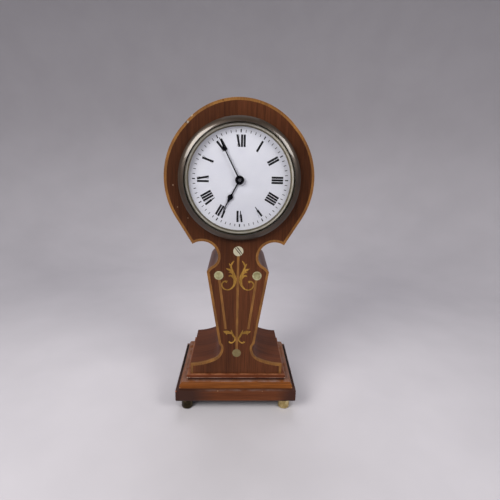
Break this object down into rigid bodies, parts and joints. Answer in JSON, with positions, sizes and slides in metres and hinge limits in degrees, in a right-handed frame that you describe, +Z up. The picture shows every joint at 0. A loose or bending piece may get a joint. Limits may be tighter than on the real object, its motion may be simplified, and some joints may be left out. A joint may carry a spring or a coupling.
{
  "type": "balloon clock",
  "caption": "Balloon-shaped mantel timepiece: inlaid mahogany case on a stepped plinth with bun feet, round enamel dial, rear-wound movement and a hinged back door.",
  "frame": {"origin": "on the floor, under the centre of the plinth", "axes": "+Z up, the dial faces -Y, +X to the right as seen from the front"},
  "size_m": [0.1106, 0.0786, 0.2492],
  "materials": {
    "mahogany": "french polished",
    "mahogany_front": "french polished, figured",
    "boxwood": "french polished",
    "satinwood": "french polished",
    "pearl": "polished mother-of-pearl",
    "bronzed_brass": "dark, polished by handling",
    "brass": "lacquered",
    "steel": "polished",
    "blued_steel": "blued",
    "enamel": "white fired enamel",
    "silvered": "silvered",
    "glass": "clear, convex"
  },
  "bodies": {
    "case": {"case_carcass": "mahogany", "front_panel": "mahogany_front", "edge_stringing": "boxwood", "centre_line": "boxwood", "side_lines": "boxwood", "upper_scrolls": "satinwood", "lower_scrolls": "satinwood", "pearl_roundels": "pearl", "plinth_step": "mahogany_front", "plinth_moulding": "mahogany_front", "plinth_base": "mahogany", "foot_front_left": "bronzed_brass", "foot_front_right": "brass", "foot_back_left": "brass", "foot_back_right": "brass", "plinth_screws": "steel", "movement_drum": "brass", "bezel": "bronzed_brass", "sight_ring": "silvered", "bezel_glass": "glass", "dial": "enamel", "back_ring": "brass", "back_ring_screws": "steel", "door_hinge_pin": "steel", "front_plate": "brass", "front_plate_screws": "steel", "back_plate": "brass", "plate_pillars": "brass", "pillar_screws": "blued_steel", "click_screws": "blued_steel", "click_spring": "blued_steel", "minute_wheel_stud": "steel", "platform": "brass", "platform_screws": "blued_steel", "lever_bridge": "brass", "balance_cock": "brass"},
    "hands": {"minute_hand": "blued_steel", "hand_collet": "steel", "cannon_pinion": "steel", "hand_arbor": "steel", "set_knob": "brass"},
    "minute_wheel": {"minute_wheel": "brass"},
    "hour_work": {"hour_wheel": "brass", "hour_hand": "blued_steel"},
    "contrate_wheel": {"contrate_wheel": "brass"},
    "third_wheel": {"third_wheel": "brass"},
    "centre_wheel": {"centre_wheel": "brass"},
    "barrel": {"mainspring_barrel": "brass", "barrel_cover": "brass", "mainspring": "blued_steel"},
    "escape_wheel": {"escape_wheel": "steel"},
    "winding_arbor": {"barrel_arbor": "steel", "ratchet_wheel": "steel"},
    "click": {"click": "steel"},
    "pallet_lever": {"pallet_lever": "steel"},
    "balance": {"balance_wheel": "brass", "hairspring": "blued_steel"},
    "regulator": {"regulator_lever": "steel"},
    "back_door": {"back_door": "brass", "door_knob": "brass"}
  },
  "joints": [
    {"name": "hands_turn", "type": "hinge", "parent": "case", "child": "hands", "pos_m": [0, -0.03075, 0.1923], "axis": [0, 1, 0], "continuous": true},
    {"name": "minute_wheel_turn", "type": "hinge", "parent": "case", "child": "minute_wheel", "pos_m": [0.0048, -0.02475, 0.18399], "axis": [0, 1, 0], "continuous": true},
    {"name": "hour_hand_turn", "type": "hinge", "parent": "case", "child": "hour_work", "pos_m": [0, -0.02775, 0.1923], "axis": [0, 1, 0], "continuous": true},
    {"name": "contrate_wheel_turn", "type": "hinge", "parent": "case", "child": "contrate_wheel", "pos_m": [0.00101, -0.00875, 0.20294], "axis": [0, 1, 0], "continuous": true},
    {"name": "third_wheel_turn", "type": "hinge", "parent": "case", "child": "third_wheel", "pos_m": [0.00851, -0.01275, 0.19895], "axis": [0, 1, 0], "continuous": true},
    {"name": "centre_wheel_turn", "type": "hinge", "parent": "case", "child": "centre_wheel", "pos_m": [0, -0.00475, 0.1923], "axis": [0, 1, 0], "continuous": true},
    {"name": "barrel_turn", "type": "hinge", "parent": "case", "child": "barrel", "pos_m": [-0.01196, -0.01275, 0.17991], "axis": [0, 1, 0], "continuous": true},
    {"name": "escape_wheel_turn", "type": "hinge", "parent": "case", "child": "escape_wheel", "pos_m": [0.00101, -0.00599, 0.21484], "axis": [0, 0, 1], "continuous": true},
    {"name": "winding", "type": "hinge", "parent": "case", "child": "winding_arbor", "pos_m": [-0.01196, 0.00225, 0.17991], "axis": [0, -1, 0], "continuous": true},
    {"name": "click_lift", "type": "hinge", "parent": "case", "child": "click", "pos_m": [-0.00389, 0.00175, 0.18134], "axis": [0, 1, 0], "range_deg": [0, 12], "deforming": ["click_spring"]},
    {"name": "pallet_lever_rock", "type": "hinge", "parent": "case", "child": "pallet_lever", "pos_m": [-0.00239, -0.00959, 0.21484], "axis": [0, 0, 1], "range_deg": [-8, 8]},
    {"name": "balance_swing", "type": "hinge", "parent": "case", "child": "balance", "pos_m": [-0.00599, -0.01309, 0.21484], "axis": [0, 0, 1], "range_deg": [-135, 135], "deforming": ["hairspring"]},
    {"name": "regulator_turn", "type": "hinge", "parent": "case", "child": "regulator", "pos_m": [-0.00599, -0.01309, 0.22284], "axis": [0, 0, 1], "range_deg": [-25, 25]},
    {"name": "back_door_swing", "type": "hinge", "parent": "case", "child": "back_door", "pos_m": [0.0449, 0.03415, 0.1923], "axis": [0, 0, -1], "range_deg": [0, 110]}
  ],
  "couplings": [
    {"joint": "minute_wheel_turn", "follows": "hands_turn", "ratio": -0.33333},
    {"joint": "hour_hand_turn", "follows": "hands_turn", "ratio": 0.083333},
    {"joint": "third_wheel_turn", "follows": "contrate_wheel_turn", "ratio": -0.13333},
    {"joint": "centre_wheel_turn", "follows": "contrate_wheel_turn", "ratio": 0.016667},
    {"joint": "barrel_turn", "follows": "contrate_wheel_turn", "ratio": -0.0023148},
    {"joint": "escape_wheel_turn", "follows": "contrate_wheel_turn", "ratio": 6.8571}
  ]
}
